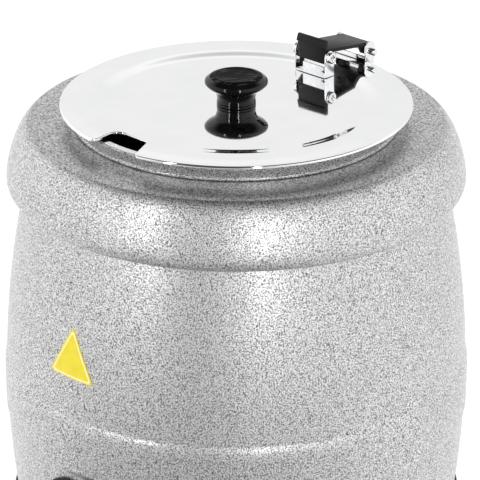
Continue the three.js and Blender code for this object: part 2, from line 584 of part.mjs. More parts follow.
// ---- wiring and mains inlet ---------------------------------------------------------
add("terminal_block", block(-20, 20, 122, 136, PLATE_Z + 1.2 + GAP, 34), nylon);
const [liveEnd, neutralEnd] = elementEnds;
const routes = {
  wire_live: [
    [-16, 120.2, 30], [-60, 100, 30], [-112, 10, 30], [-90, -100, 34], [-40, -132, 44], [-18.8, -140, 52],
  ],
  wire_heater: [
    [18.8, -140, 52], [60, -112, 36], [104, -30, 27], [70, 40, 23.5], [30, 50, 23.3],
    [liveEnd[0] + 6, 66, 23.2], [liveEnd[0], liveEnd[1], 25.6],
  ],
  wire_neutral: [[8, 120.2, 30], [10, 108, 26], [12, 86, 23.4], [neutralEnd[0], neutralEnd[1], 25.6]],
  wire_earth: [[18, 120.2, 27], [40, 112, 23], [52, 100, 24], [56, 92, 30], [58, 84, 39.9]],
};
for (const [name, points] of Object.entries(routes)) {
  add(name, tube(along(points), 1.2, 3 * points.length), wireColours[name]);
}

const sleeve = [[4, -REACH], [6.4, -REACH], [8, -171]];
const flange = [[11, -171], [11, -167.2], [8, -167.2]];
const thread = [[8, -152], [4, -152]];
add("cord_gland", turnedToFront([...sleeve, ...flange, ...thread], 0, GLAND_Z, 16), blackPlastic);
add("gland_nut", turnedToFront(hexNut(9.6, 12.4, -161.5, -157), 0, GLAND_Z, 6), nylon);

export default kettle;
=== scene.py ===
"""Soup kettle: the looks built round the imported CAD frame.

Lengths are written in millimetres and turned into metres by MM. The main heights and radii come from
the frame's own boxes, so a change in the CAD moves the visible surfaces with it. What lies inside a
piece's box, such as a rounding or a wall's thickness, is a number here.
"""

import json
import math

import bmesh
import bpy
from mathutils import Matrix, Vector


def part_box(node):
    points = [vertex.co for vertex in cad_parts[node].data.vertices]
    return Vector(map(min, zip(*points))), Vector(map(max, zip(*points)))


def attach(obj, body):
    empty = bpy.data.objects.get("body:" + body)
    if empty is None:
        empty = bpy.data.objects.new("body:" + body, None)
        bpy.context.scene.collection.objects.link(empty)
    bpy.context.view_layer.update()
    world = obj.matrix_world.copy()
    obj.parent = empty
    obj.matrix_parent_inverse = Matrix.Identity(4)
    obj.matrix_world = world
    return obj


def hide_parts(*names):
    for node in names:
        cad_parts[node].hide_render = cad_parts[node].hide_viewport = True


MM = 0.001
TAU = 2 * math.pi

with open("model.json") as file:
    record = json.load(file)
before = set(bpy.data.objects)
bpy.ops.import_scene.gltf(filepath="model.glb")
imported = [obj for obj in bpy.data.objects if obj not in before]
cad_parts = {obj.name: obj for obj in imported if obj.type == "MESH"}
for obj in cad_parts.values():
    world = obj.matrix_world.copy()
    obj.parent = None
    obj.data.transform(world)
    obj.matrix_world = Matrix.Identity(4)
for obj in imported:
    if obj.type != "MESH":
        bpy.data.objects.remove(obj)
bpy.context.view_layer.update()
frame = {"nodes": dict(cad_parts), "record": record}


def low(node, axis):
    """Lowest coordinate of a CAD node along an axis, in millimetres."""
    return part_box(node)[0][axis] / MM


def high(node, axis):
    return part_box(node)[1][axis] / MM


X, Y, Z = 0, 1, 2

# ---- driving dimensions, in millimetres ----------------------------------------------
BODY_BOTTOM = low("body_shell", Z)
SHELL_TOP = high("body_shell", Z)
RING_TOP = high("top_ring", Z)
RING_BOTTOM = low("top_ring", Z)
RING_R = high("top_ring", X)
LID_RISE = 0.8  # how far the lid's outer band stands above its edge
LID_Z = high("lid", Z) - LID_RISE
LID_R = high("lid", X)
SKIRT_Z = LID_Z - 1.6
SHEET = 0.8  # lid sheet
MIDDLE_Z = low("lid_knob", Z) - 0.3  # the dished middle of the lid
SHELF_Z = low("lid_bracket", Z) - 0.3  # the flat shelf that carries the hinge
COLLAR_TOP = high("lid_ring", Z)
COLLAR_R = high("lid_ring", X)
SEAT_TOP = high("lid_seat", Z)
SEAT_LOW = low("lid_seat", Z)
POT_RIM = high("inner_pot", Z)
POT_BOTTOM = low("inner_pot", Z)
POT_R = 107.5
POT_RIM_R = 112.6
WELL_R = 122.0
WELL_RIM_R = 139.5
WELL_RIM = high("water_well", Z)
WELL_BOTTOM = low("water_well", Z)
FRONT_PIN = (82.5, LID_Z + 14.0)
REAR_PIN = (127.5, LID_Z + 7.2)
LEVER_HALF = high("hinge_lever", X)
EAR_OUT = high("lid_bracket", X)
EAR = 1.2  # thickness of the bracket sheet
CONTROL_Z = (low("control_bezel", Z) + high("control_bezel", Z)) / 2
BEZEL_R = high("control_bezel", X)
BEZEL_FACE = -low("control_bezel", Y)
LAMP_TURN = 0.28  # from the control knob to the pilot lamp, round the body
LAMP_BACK = 158
SCREW_BACK = 157.5
BELLY_Z = 120.0  # widest height of the barrel
BELLY_R = high("body_shell", X)
BARREL_CURVE = 665.0  # radius of the barrel's side
BELT_HALF = 20.5  # from the belly to the middle of the belt's edge
BELT_EDGE = 3.0  # half the height of the slope at its edge
BELT_RISE = 1.25
SIDES = 224

bodies = {n: b for b, ns in frame["record"]["behaviour"]["bodies"].items() for n in ns}
slots = {p["node"]: p["material_slot"] for p in frame["record"]["subparts"]}


# ---- shader helpers -----------------------------------------------------------------
class Nodes:
    """Short names for the nodes of one tree, which all read one set of coordinates."""

    def __init__(self, tree, coordinates):
        self.tree = tree
        self.place = self.node("ShaderNodeTexCoord").outputs[coordinates]

    def node(self, kind, **settings):
        made = self.tree.nodes.new(kind)
        for key, value in settings.items():
            setattr(made, key, value)
        return made

    def link(self, source, target):
        self.tree.links.new(source, target)

    def stretched(self, x, y, z):
        mapping = self.node("ShaderNodeMapping")
        mapping.inputs["Scale"].default_value = (x, y, z)
        self.link(self.place, mapping.inputs["Vector"])
        return mapping.outputs["Vector"]

    def noise(self, size_mm, detail=2.0, roughness=0.5, vector=None):
        made = self.node("ShaderNodeTexNoise")
        made.inputs["Scale"].default_value = 1 / (size_mm * MM)
        made.inputs["Detail"].default_value = detail
        made.inputs["Roughness"].default_value = roughness
        self.link(vector or self.place, made.inputs["Vector"])
        return made.outputs["Fac"]

    def cells(self, size_mm):
        made = self.node("ShaderNodeTexVoronoi")
        made.inputs["Scale"].default_value = 1 / (size_mm * MM)
        self.link(self.place, made.inputs["Vector"])
        return made.outputs["Distance"]

    def ramp(self, value, *stops):
        made = self.node("ShaderNodeValToRGB")
        ramp = made.color_ramp
        while len(ramp.elements) < len(stops):
            ramp.elements.new(0.5)
        for element, (place, colour) in zip(ramp.elements, stops):
            element.position = place
            shade = colour if isinstance(colour, tuple) else (colour,) * 3
            element.color = (*shade, 1)
        self.link(value, made.inputs["Fac"])
        return made.outputs["Color"]

    def math(self, operation, a, number):
        made = self.node("ShaderNodeMath", operation=operation)
        self.link(a, made.inputs[0])
        made.inputs[1].default_value = number
        return made.outputs[0]

    def mix(self, a, b, factor):
        made = self.node("ShaderNodeMix", data_type="RGBA")
        made.inputs["Factor"].default_value = factor
        self.link(a, made.inputs["A"])
        self.link(b, made.inputs["B"])
        return made.outputs["Result"]


class Shader(Nodes):
    """A Principled material whose textures all read the piece's own coordinates, in metres."""

    def __init__(self, name, **sockets):
        self.material = bpy.data.materials.new(name)
        self.material.use_nodes = True
        super().__init__(self.material.node_tree, "Object")
        self.bsdf = self.tree.nodes["Principled BSDF"]
        for key, value in sockets.items():
            self.bsdf.inputs[key.replace("_", " ")].default_value = value

    def colour(self, value):
        self.link(value, self.bsdf.inputs["Base Color"])

    def roughness(self, value):
        self.link(value, self.bsdf.inputs["Roughness"])

    def bump(self, height, rise_mm):
        made = self.node("ShaderNodeBump")
        made.inputs["Strength"].default_value = 1.0
        made.inputs["Distance"].default_value = rise_mm * MM
        self.link(height, made.inputs["Height"])
        self.link(made.outputs["Normal"], self.bsdf.inputs["Normal"])


def hammered_paint():
    """Grey hammer finish under a clear coat: close-set dimples, their floors painted dark as painted shade
    over the paint's own speckle.
    """
    s = Shader("hammered_paint", Metallic=0.92, Roughness=0.4)
    s.bsdf.inputs["Coat Weight"].default_value = 0.25
    s.bsdf.inputs["Coat Roughness"].default_value = 0.2
    dimples = s.noise(0.85, 1.2, 0.5)
    # painted shade: the colour goes near black where the bump below sinks into the dimples; the rest is the
    # paint's speckle
    speckle_and_painted_shade = s.ramp(dimples, (0.37, 0.03), (0.46, 0.46), (0.6, 0.88))
    cloud = s.ramp(s.noise(40, 2), (0.3, 0.46), (0.7, 0.5))
    s.colour(s.mix(speckle_and_painted_shade, cloud, 0.15))
    s.roughness(s.ramp(dimples, (0.3, 0.44), (0.7, 0.3)))
    s.bump(s.ramp(dimples, (0.36, 0.0), (0.6, 1.0)), 0.1)
    return s.material


def mirror_steel():
    """Polished stainless sheet with a faint wipe grain."""
    s = Shader("mirror_steel", Metallic=1.0)
    grain = s.noise(0.5, 2, 0.6, s.stretched(1, 0.05, 1))
    s.colour(s.ramp(s.noise(30, 3), (0.3, (0.88, 0.885, 0.89)), (0.7, (0.92, 0.92, 0.92))))
    s.roughness(s.ramp(grain, (0.3, 0.03), (0.7, 0.07)))
    return s.material


def brushed_steel(name, shade, rough, stretch):
    s = Shader(name, Metallic=1.0)
    grain = s.noise(0.6, 3, 0.6, s.stretched(*stretch))
    s.colour(s.ramp(grain, (0.3, shade * 0.9), (0.7, shade)))
    s.roughness(s.ramp(grain, (0.3, rough * 0.75), (0.7, rough * 1.25)))
    s.bump(grain, 0.01)
    return s.material


def chrome():
    s = Shader("chrome", Metallic=1.0)
    s.colour(s.ramp(s.noise(4, 2), (0.3, (0.7, 0.71, 0.72)), (0.7, (0.8, 0.8, 0.81))))
    s.roughness(s.ramp(s.noise(1.5, 3), (0.3, 0.05), (0.7, 0.1)))
    return s.material


def moulded(name, dark, light, rough, grain_mm=0.5, rise=0.02):
    """Moulded plastic or rubber with a fine skin texture."""
    s = Shader(name)
    skin = s.noise(grain_mm, 3, 0.6)
    s.colour(s.ramp(s.noise(9, 3), (0.3, dark), (0.7, light)))
    s.roughness(s.ramp(skin, (0.3, rough * 0.8), (0.7, rough * 1.2)))
    s.bump(skin, rise)
    return s.material


def amber_lens():
    s = Shader("amber_lens", Roughness=0.12, IOR=1.49)
    s.bsdf.inputs["Transmission Weight"].default_value = 0.35
    ribs = s.cells(1.6)
    s.colour(s.ramp(ribs, (0.0, (0.95, 0.45, 0.05)), (0.8, (0.75, 0.27, 0.02))))
    s.bump(ribs, 0.15)
    return s.material


def printed_film(name, dark, light):
    s = Shader(name)
    s.colour(s.ramp(s.noise(6, 3), (0.3, dark), (0.7, light)))
    s.roughness(s.ramp(s.noise(1.2, 2), (0.3, 0.34), (0.7, 0.46)))
    s.bump(s.noise(1.5, 2), 0.01)
    return s.material


def knob_top():
    """Dull black with a few long grey scuffs."""
    s = Shader("knob_top", Roughness=0.3, IOR=1.07)
    along = s.node("ShaderNodeMapping", vector_type="TEXTURE")
    along.inputs["Rotation"].default_value = (0, 0, math.radians(62))
    along.inputs["Scale"].default_value = (4, 0.6, 1)
    s.link(s.place, along.inputs["Vector"])
    scuffs = s.noise(4, 2, 0.5, along.outputs["Vector"])
    s.colour(s.ramp(scuffs, (0.52, 0.005), (0.7, 0.09)))
    return s.material


materials = {
    "hammered": hammered_paint(),
    "stainless": mirror_steel(),
    "seat": brushed_steel("seat_steel", 0.8, 0.2, (1, 1, 0.2)),
    "deep_drawn": brushed_steel("deep_drawn_steel", 0.74, 0.26, (1, 1, 0.06)),
    "chrome": chrome(),
    "zinc": brushed_steel("zinc_plate", 0.62, 0.4, (1, 1, 1)),
    "element": brushed_steel("element_sheath", 0.36, 0.45, (1, 1, 1)),
    "aluminium": brushed_steel("milled_aluminium", 0.72, 0.4, (1, 0.1, 1)),
    "copper": moulded("drawn_copper", (0.6, 0.3, 0.18), (0.72, 0.4, 0.25), 0.3),
    "knob_top": knob_top(),
    "black_plastic": moulded("satin_black", 0.005, 0.01, 0.38),
    "black_gloss": moulded("black_phenolic", 0.003, 0.006, 0.1, 3.0, 0.004),
    "rubber": moulded("black_rubber", 0.014, 0.026, 0.75, 0.4, 0.04),
    "yellow_label": printed_film("yellow_film", (0.86, 0.7, 0.01), (0.92, 0.76, 0.03)),
    "label_border": printed_film("label_border", (0.93, 0.9, 0.55), (0.97, 0.94, 0.65)),
    "print": printed_film("dial_print", 0.75, 0.85),
    "lamp_amber": amber_lens(),
    "nylon": moulded("natural_nylon", (0.76, 0.74, 0.66), (0.84, 0.82, 0.75), 0.45),
    "wire_brown": moulded("wire_brown", (0.2, 0.09, 0.04), (0.28, 0.13, 0.06), 0.4),
    "wire_red": moulded("wire_red", (0.5, 0.05, 0.03), (0.62, 0.08, 0.05), 0.4),
    "wire_blue": moulded("wire_blue", (0.04, 0.13, 0.42), (0.07, 0.2, 0.55), 0.4),
    "wire_green": moulded("wire_green", (0.1, 0.38, 0.1), (0.3, 0.52, 0.1), 0.4),
}
for key, socket, value in (("copper", "Metallic", 1.0), ("black_gloss", "Specular IOR Level", 0.28),
                           ("black_plastic", "Specular IOR Level", 0.2)):
    materials[key].node_tree.nodes["Principled BSDF"].inputs[socket].default_value = value


# ---- mesh helpers -------------------------------------------------------------------
def rounded(points, closed=True, steps=5):
    """Corners given as (a, b, radius) become arcs."""
    made = []
    for i, point in enumerate(points):
        corner, radius = Vector(point[:2]), (point[2] if len(point) > 2 else 0)
        if not radius or (not closed and i in (0, len(points) - 1)):
            made.append(tuple(corner))
            continue
        back = Vector(points[i - 1][:2]) - corner
        ahead = Vector(points[(i + 1) % len(points)][:2]) - corner
        half = back.angle(ahead) / 2
        reach = min(radius / math.tan(half), 0.49 * back.length, 0.49 * ahead.length)
        radius = reach * math.tan(half)
        middle = (back.normalized() + ahead.normalized()).normalized()
        centre = corner + middle * (radius / math.sin(half))
        first = corner + back.normalized() * reach - centre
        last = corner + ahead.normalized() * reach - centre
        turn = math.atan2(first.cross(last), first.dot(last))
        for k in range(steps + 1):
            a = turn * k / steps
            spot = Matrix.Rotation(a, 2) @ first
            made.append(tuple(centre + spot))
    return made


def new_mesh(name, build, material, sharp=32):
    """A smooth-shaded object in metres from a bmesh that build() fills in millimetres."""
    bm = bmesh.new()
    build(bm)
    bmesh.ops.remove_doubles(bm, verts=bm.verts, dist=1e-4)
    bmesh.ops.recalc_face_normals(bm, faces=bm.faces)
    bmesh.ops.scale(bm, vec=(MM,) * 3, verts=bm.verts)
    mesh = bpy.data.meshes.new(name)
    bm.to_mesh(mesh)
    bm.free()
    mesh.polygons.foreach_set("use_smooth", [True] * len(mesh.polygons))
    mesh.set_sharp_from_angle(angle=math.radians(sharp))
    made = bpy.data.objects.new(name, mesh)
    bpy.context.scene.collection.objects.link(made)
    mesh.materials.append(materials[material])
    return made


def turn_profile(bm, profile, sides=SIDES, matrix=None):
    """Turns a closed (r, z) outline about Z. An outline that touches the axis closes there."""
    on_axis = profile[0][0] < 1e-6 and profile[-1][0] < 1e-6
    rings = []
    for r, z in profile:
        if r < 1e-6:
            rings.append([bm.verts.new((0, 0, z))])
            continue
        around = [TAU * k / sides for k in range(sides)]
        rings.append([bm.verts.new((r * math.cos(a), r * math.sin(a), z)) for a in around])
    pairs = list(zip(rings, rings[1:]))
    if not on_axis:
        pairs.append((rings[-1], rings[0]))
    for a, b in pairs:
        for k in range(sides):
            n = (k + 1) % sides
            loop = [a[k % len(a)], a[n % len(a)], b[n % len(b)], b[k % len(b)]]
            loop = list(dict.fromkeys(loop))
            if len(loop) > 2:
                bm.faces.new(loop)
    if matrix is not None:
        bmesh.ops.transform(bm, matrix=matrix, verts=[v for ring in rings for v in ring])


def prism(bm, outline, low_end, high_end, axis=X, bevel=0.0, segments=2):
    """A bevelled slab: an outline in the other two axes, drawn out along axis."""
    own = bmesh.new()
    others = [k for k in (X, Y, Z) if k != axis]
    ends = []
    for level in (low_end, high_end):
        ring = []
        for a, b in outline:
            place = [0, 0, 0]
            place[axis], place[others[0]], place[others[1]] = level, a, b
            ring.append(own.verts.new(place))
        ends.append(ring)
    own.faces.new(ends[0])
    own.faces.new(ends[1])
    for k in range(len(outline)):
        n = (k + 1) % len(outline)
        own.faces.new((ends[0][k], ends[0][n], ends[1][n], ends[1][k]))
    bmesh.ops.recalc_face_normals(own, faces=own.faces)
    if bevel:
        edges = [e for e in own.edges if e.calc_face_angle(0) > math.radians(25)]
        bmesh.ops.bevel(own, geom=edges, offset=bevel, segments=segments, profile=0.5,
                        affect="EDGES", clamp_overlap=True)
    made = bpy.data.meshes.new("slab")
    own.to_mesh(made)
    own.free()
    bm.from_mesh(made)
    bpy.data.meshes.remove(made)


def stand_for(piece, *nodes):
    """Ties a new piece to the CAD nodes that it shows."""
    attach(piece, bodies[nodes[0]])
    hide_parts(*nodes)
    return piece


def lathe(node, profile, material=None, sides=SIDES, matrix=None, sharp=32):
    """A turned piece that shows one CAD node."""
    build = lambda bm: turn_profile(bm, profile, sides, matrix)
    piece = new_mesh(node + "_skin", build, material or slots[node], sharp)
    return stand_for(piece, node)


def carve(target, build):
    """Cuts a solid out of a piece."""
    tool = new_mesh("tool", build, "zinc")
    cut = target.modifiers.new("cut", "BOOLEAN")
    cut.object = tool
    cut.solver = "EXACT"
    bpy.context.view_layer.update()
    result = bpy.data.meshes.new_from_object(target.evaluated_get(bpy.context.evaluated_depsgraph_get()))
    target.modifiers.remove(cut)
    old, target.data = target.data, result
    bpy.data.meshes.remove(old)
    bpy.data.objects.remove(tool)


TO_FRONT = Matrix.Rotation(math.pi / 2, 4, "X")  # a profile's +Z turns to -Y
TO_RIGHT = Matrix.Rotation(math.pi / 2, 4, "Y")  # a profile's +Z turns to +X


# ---- camera, light and floor --------------------------------------------------------
CAMERA_TURN = math.radians(43.5)
CAMERA_TILT = math.radians(23.89)
CAMERA_AWAY = 2.077
AIM = Vector((0, 0, 0.2178))
back = Vector((math.sin(CAMERA_TURN) * math.cos(CAMERA_TILT),
               -math.cos(CAMERA_TURN) * math.cos(CAMERA_TILT), math.sin(CAMERA_TILT)))
camera = bpy.data.objects.new("camera", bpy.data.cameras.new("camera"))
bpy.context.scene.collection.objects.link(camera)
camera.location = AIM + back * CAMERA_AWAY
camera.rotation_euler = (-back).to_track_quat("-Z", "Y").to_euler()
camera.data.lens = 214.8
camera.data.sensor_width = 36
camera.data.shift_x = 0.0077
camera.data.shift_y = 0.0156
camera.data.clip_end = 100
bpy.context.scene.camera = camera
bpy.context.scene.view_settings.view_transform = "Standard"


LIGHT_HEIGHT = 0.8
LIGHT_SIZE = (0.13, 1.4)
LIGHT_AIM = Vector((0, 0, 0.2))
GAP_TURN = math.radians(-14)  # the unlit gap between the two lights, from the camera's direction
GAP_HEIGHT = 0.27
WALL_LIGHT = 1.3


def softbox(name, turn_degrees, away, power):
    """A tall strip light; its turn is counted from the camera's direction, plus to the right."""
    a = CAMERA_TURN + math.radians(turn_degrees)
    place = Vector((math.sin(a) * away, -math.cos(a) * away, LIGHT_HEIGHT))
    data = bpy.data.lights.new(name, "AREA")
    data.shape = "RECTANGLE"
    data.size, data.size_y = LIGHT_SIZE
    data.energy = power
    made = bpy.data.objects.new(name, data)
    bpy.context.scene.collection.objects.link(made)
    made.location = place
    made.rotation_euler = (LIGHT_AIM - place).to_track_quat("-Z", "Y").to_euler()


softbox("key_left", -42, 1.8, 9)
softbox("key_right", 13, 2.0, 13)

world = bpy.data.worlds.new("studio")
bpy.context.scene.world = world
world.use_nodes = True


def studio():
    """Pale walls, a dark ceiling and a dark gap behind the camera, between the two lights."""
    sky = Nodes(world.node_tree, "Generated")
    turn = CAMERA_TURN + GAP_TURN
    dot = sky.node("ShaderNodeVectorMath", operation="DOT_PRODUCT")
    dot.inputs[1].default_value = Vector((math.sin(turn), -math.cos(turn), GAP_HEIGHT)).normalized()
    sky.link(sky.place, dot.inputs[0])
    split = sky.node("ShaderNodeSeparateXYZ")
    sky.link(sky.place, split.inputs[0])
    forward = sky.math("MULTIPLY", sky.math("ADD", dot.outputs["Value"], 1.0), 0.5)
    walls = sky.ramp(forward, (0.0, 0.7), (0.12, 0.72), (0.3, 1.0), (0.68, 1.0), (0.88, 0.75),
                     (0.96, 0.06))
    ceiling = sky.ramp(split.outputs["Z"], (0.58, 1.0), (0.78, 0.05))
    both = sky.node("ShaderNodeMix", data_type="RGBA", blend_type="MULTIPLY")
    both.inputs["Factor"].default_value = 1.0
    sky.link(walls, both.inputs["A"])
    sky.link(ceiling, both.inputs["B"])
    sky.link(both.outputs["Result"], world.node_tree.nodes["Background"].inputs["Color"])
    world.node_tree.nodes["Background"].inputs["Strength"].default_value = WALL_LIGHT


studio()


FLOOR_R = 14000


def floor_sheet(bm):
    around = [TAU * k / 96 for k in range(96)]
    bm.faces.new([bm.verts.new((FLOOR_R * math.cos(a), FLOOR_R * math.sin(a), 0)) for a in around])


# Painted light: the sweep glows a little by its own emission, dimmer in the gap behind the camera as painted
# shade, so it looks lit without a lamp.
paper = Shader("glowing_floor", Roughness=0.8)
paper.colour(paper.ramp(paper.noise(300, 3), (0.3, 0.5), (0.7, 0.52)))
outward = paper.node("ShaderNodeVectorMath", operation="NORMALIZE")
paper.link(paper.place, outward.inputs[0])
glow = paper.node("ShaderNodeVectorMath", operation="DOT_PRODUCT")
glow.inputs[1].default_value = (-math.sin(CAMERA_TURN + GAP_TURN), math.cos(CAMERA_TURN + GAP_TURN), 0)
paper.link(outward.outputs["Vector"], glow.inputs[0])
around = paper.math("MULTIPLY", paper.math("ADD", glow.outputs["Value"], 1.0), 0.5)
# painted shade: the glow drops towards the gap behind the camera
paper.link(paper.ramp(around, (0.0, 0.14), (0.1, 0.25), (0.3, 0.72), (0.55, 0.82)),
           paper.bsdf.inputs["Emission Color"])
paper.bsdf.inputs["Emission Strength"].default_value = 1.0
materials["floor"] = paper.material
floor = new_mesh("floor", floor_sheet, "floor")


# ---- barrel body --------------------------------------------------------------------
def barrel(z):
    return BELLY_R - (z - BELLY_Z) ** 2 / (2 * BARREL_CURVE)


def smooth_step(t):
    t = min(max(t, 0), 1)
    return t * t * (3 - 2 * t)


def belt(z):
    """Height of the proud belt over the rest of the barrel's side."""
    return BELT_RISE * smooth_step((BELT_HALF + BELT_EDGE - abs(z - BELLY_Z)) / (2 * BELT_EDGE))


BODY_SHEET = 1.2
BODY_FOOT_R = 150.5  # inner edge of the flange at the bottom
FINE_STEP, COARSE_STEP = 0.6, 4.0


def body_profile():
    heights = [BODY_BOTTOM + 1]
    z = 28.0
    while z < SHELL_TOP - 6:
        heights.append(z)
        near_edge = abs(abs(z - BELLY_Z) - BELT_HALF) < BELT_EDGE + 1
        z += FINE_STEP if near_edge else COARSE_STEP
    heights.append(SHELL_TOP - 1)
    inset = BELT_RISE + 0.05
    outside = [(barrel(z) - inset + belt(z), z) for z in heights]
    inside = [(barrel(z) - inset - BODY_SHEET, z) for z in reversed(heights[::3])]
    flange = WELL_R + 2
    top = [(outside[-1][0] - 0.6, SHELL_TOP), (flange, SHELL_TOP), (flange, SHELL_TOP - BODY_SHEET)]
    foot = [(BODY_FOOT_R, BODY_BOTTOM + BODY_SHEET), (BODY_FOOT_R, BODY_BOTTOM),
            (outside[0][0] - 1, BODY_BOTTOM)]
    return outside + top + inside + foot


lathe("body_shell", body_profile())


# ---- shoulder ring ------------------------------------------------------------------
RING_FLAT_R = 148.3  # where the flat top ends
RING_WIDEST = 279.0
RING_SHAPE = 1.3  # how square the shoulder is, over a plain ellipse
RING_ROLL = 8.2
RING_OPENING = 109.8
RING_HEM_R = 153.6  # inner edge of the hem under the roll
RING_LINER_LOW = 300
RING_SHEET = 1.5


def shoulder(steps=26):
    made = []
    rise, reach = RING_TOP - RING_WIDEST, RING_R - RING_FLAT_R
    for i in range(steps + 1):
        a = math.pi / 2 * (1 - i / steps)
        made.append((RING_FLAT_R + reach * math.cos(a) ** RING_SHAPE,
                     RING_WIDEST + rise * math.sin(a) ** RING_SHAPE))
    for i in range(1, 11):
        a = math.pi / 2 * i / 10
        made.append((RING_R - RING_ROLL + RING_ROLL * math.cos(a),
                     RING_WIDEST - (RING_WIDEST - RING_BOTTOM) * math.sin(a)))
    return made


ring_liner = RING_OPENING + RING_SHEET
ring_outline = [(RING_OPENING, RING_LINER_LOW), (RING_OPENING, RING_TOP - 1), (RING_OPENING + 1, RING_TOP)]
ring_outline += shoulder() + [(RING_HEM_R, RING_BOTTOM), (RING_HEM_R, RING_BOTTOM + RING_SHEET)]
for r, z in reversed(shoulder(12)):
    ring_outline.append((r - RING_SHEET, z - (1.4 if z > RING_WIDEST else -1.2)))
ring_outline += [(ring_liner, RING_TOP - RING_SHEET), (ring_liner, RING_LINER_LOW)]
lathe("top_ring", ring_outline)


# ---- collar and seat ----------------------------------------------------------------
FOOT = low("lid_ring", Z)
COLLAR_IN = 113.8
COLLAR_FOOT_R = 115.4
SEAT_IN = 111.2
SEAT_OUT = COLLAR_R - 1.7
lathe("lid_ring", rounded([
    (COLLAR_IN, FOOT), (COLLAR_FOOT_R + 0.8, FOOT, 0.7), (COLLAR_FOOT_R + 0.8, FOOT + 1.9, 0.7),
    (COLLAR_FOOT_R, FOOT + 2.6), (COLLAR_R, COLLAR_TOP - 0.2, 0.6), (COLLAR_R - 1.3, COLLAR_TOP, 0.3),
    (COLLAR_IN, FOOT + 1.7),
]))
lathe("lid_seat", rounded([
    (SEAT_IN, SEAT_LOW), (SEAT_IN + 0.8, SEAT_LOW), (SEAT_IN + 0.8, SEAT_TOP - 0.9, 0.5),
    (SEAT_OUT, SEAT_TOP - 0.8), (SEAT_OUT, SEAT_TOP, 0.3), (SEAT_IN, SEAT_TOP, 0.8),
]), "seat")


# ---- pot and well -------------------------------------------------------------------
def vessel(node, radius, bottom, rim, rim_r, rim_round, inner_round):
    """A deep-drawn pot of 1 mm sheet with a flat rim turned outward."""
    lathe(node, rounded([
        (0, bottom), (radius, bottom, 10), (radius, rim - 1, 0.6), (rim_r, rim - 1, rim_round),
        (rim_r, rim, rim_round), (radius - 1, rim, inner_round), (radius - 1, bottom + 1, 9),
        (0, bottom + 1),
    ], steps=8), "deep_drawn")


vessel("inner_pot", POT_R, POT_BOTTOM, POT_RIM, POT_RIM_R, 0.4, 1.2)
vessel("water_well", WELL_R, WELL_BOTTOM, WELL_RIM, WELL_RIM_R, 0, 1.4)


# ---- lid ----------------------------------------------------------------------------
NOTCH_BACK = 98.7  # from the lid's middle to the notch's inner side
NOTCH_HALF = 15.6
NOTCH_TURN = -0.04
NOTCH_MOUTH = (-13.5, 27.0)  # where its sides meet the lid's edge
NOTCH_ROUNDS = (9.0, 2.0)  # its inner corners
NOTCH_MOUTH_ROUND = 4.0
NOTCH_ALONG_EDGE = 25  # how far the outline follows the lid's edge to each side
LIP = 0.8
DISH_R = 88.0
BAND_FROM = 90.0
BAND_RISES_OVER = 14.0
BAND_OVER_EDGE = 0.7
BAND_FALL = 0.45
EDGE_ROUND = 1.1


def lid_height(r):
    """The lid's top: shallow dish, rise to the outer band, and rolled edge."""
    dish = (SHELF_Z - MIDDLE_Z) * smooth_step(r / DISH_R)
    step = (LID_Z + BAND_OVER_EDGE - SHELF_Z) * smooth_step((r - BAND_FROM) / BAND_RISES_OVER)
    fall = BAND_FALL * smooth_step((r - 112) / 13)
    edge = max(0, r - (LID_R - EDGE_ROUND))
    roll = EDGE_ROUND - math.sqrt(max(0, EDGE_ROUND ** 2 - edge ** 2))
    return MIDDLE_Z + dish + step - fall - roll


def lid_profile():
    radii = [0] + [4.0 * k for k in range(1, 22)] + [BAND_FROM - 2 + 0.7 * k for k in range(51)]
    radii += [LID_R - EDGE_ROUND * math.cos(math.pi / 2 * k / 8) for k in range(9)]
    top = [(r, lid_height(r)) for r in radii]
    inner = LID_R - SHEET
    skirt = [(LID_R, SKIRT_Z + 0.2), (LID_R - 0.2, SKIRT_Z), (inner + 0.2, SKIRT_Z), (inner, SKIRT_Z + 0.2)]
    under = [(r, z - SHEET) for r, z in reversed(top) if r < inner - 0.3]
    return top + skirt + [(inner, under[0][1] - 0.2)] + under


def notch_outline(shrink):
    """The ladle notch seen from above; its sides run out into the lid's edge over a radius."""
    left, right = NOTCH_MOUTH[0] + shrink, NOTCH_MOUTH[1] - shrink
    half, inner = NOTCH_HALF - shrink, NOTCH_BACK + shrink
    edge = NOTCH_ALONG_EDGE / LID_R
    rim_left, rim_right = (-math.sqrt(LID_R ** 2 - x * x) for x in (left, right))
    outline = rounded([
        (left + rim_left * edge, rim_left - left * edge), (left, rim_left, NOTCH_MOUTH_ROUND + shrink),
        (-half, -inner, NOTCH_ROUNDS[0] - shrink), (half, -inner, NOTCH_ROUNDS[1] - shrink),
        (right, rim_right, NOTCH_MOUTH_ROUND + shrink),
        (right - rim_right * edge, rim_right + right * edge), (60, -150), (-50, -150),
    ], steps=8)
    turn = Matrix.Rotation(NOTCH_TURN, 2)
    return [tuple(turn @ Vector(p)) for p in outline]


def lid_lip(bm):
    """The notch's turned-down edge, from the lid's surface over a small radius and down."""
    rows = []
    for (ox, oy), (ix, iy) in zip(notch_outline(0), notch_outline(LIP)):
        if math.hypot(ix, iy) > LID_R - 0.1:
            continue
        z = min(lid_height(math.hypot(ox, oy)), lid_height(math.hypot(ix, iy)) + 0.05)
        row = []
        for k in range(7):
            a = math.pi / 2 * k / 6
            t = math.sin(a)
            row.append((ox + (ix - ox) * t, oy + (iy - oy) * t, z - LIP * (1 - math.cos(a))))
        row.append((ix, iy, SKIRT_Z + 0.3))
        row.append((ox, oy, SKIRT_Z + 0.3))
        rows.append([bm.verts.new(p) for p in row])
    for a, b in zip(rows, rows[1:]):
        for k in range(len(a)):
            n = (k + 1) % len(a)
            bm.faces.new((a[k], a[n], b[n], b[k]))
    bm.faces.new(rows[0])
    bm.faces.new(rows[-1])


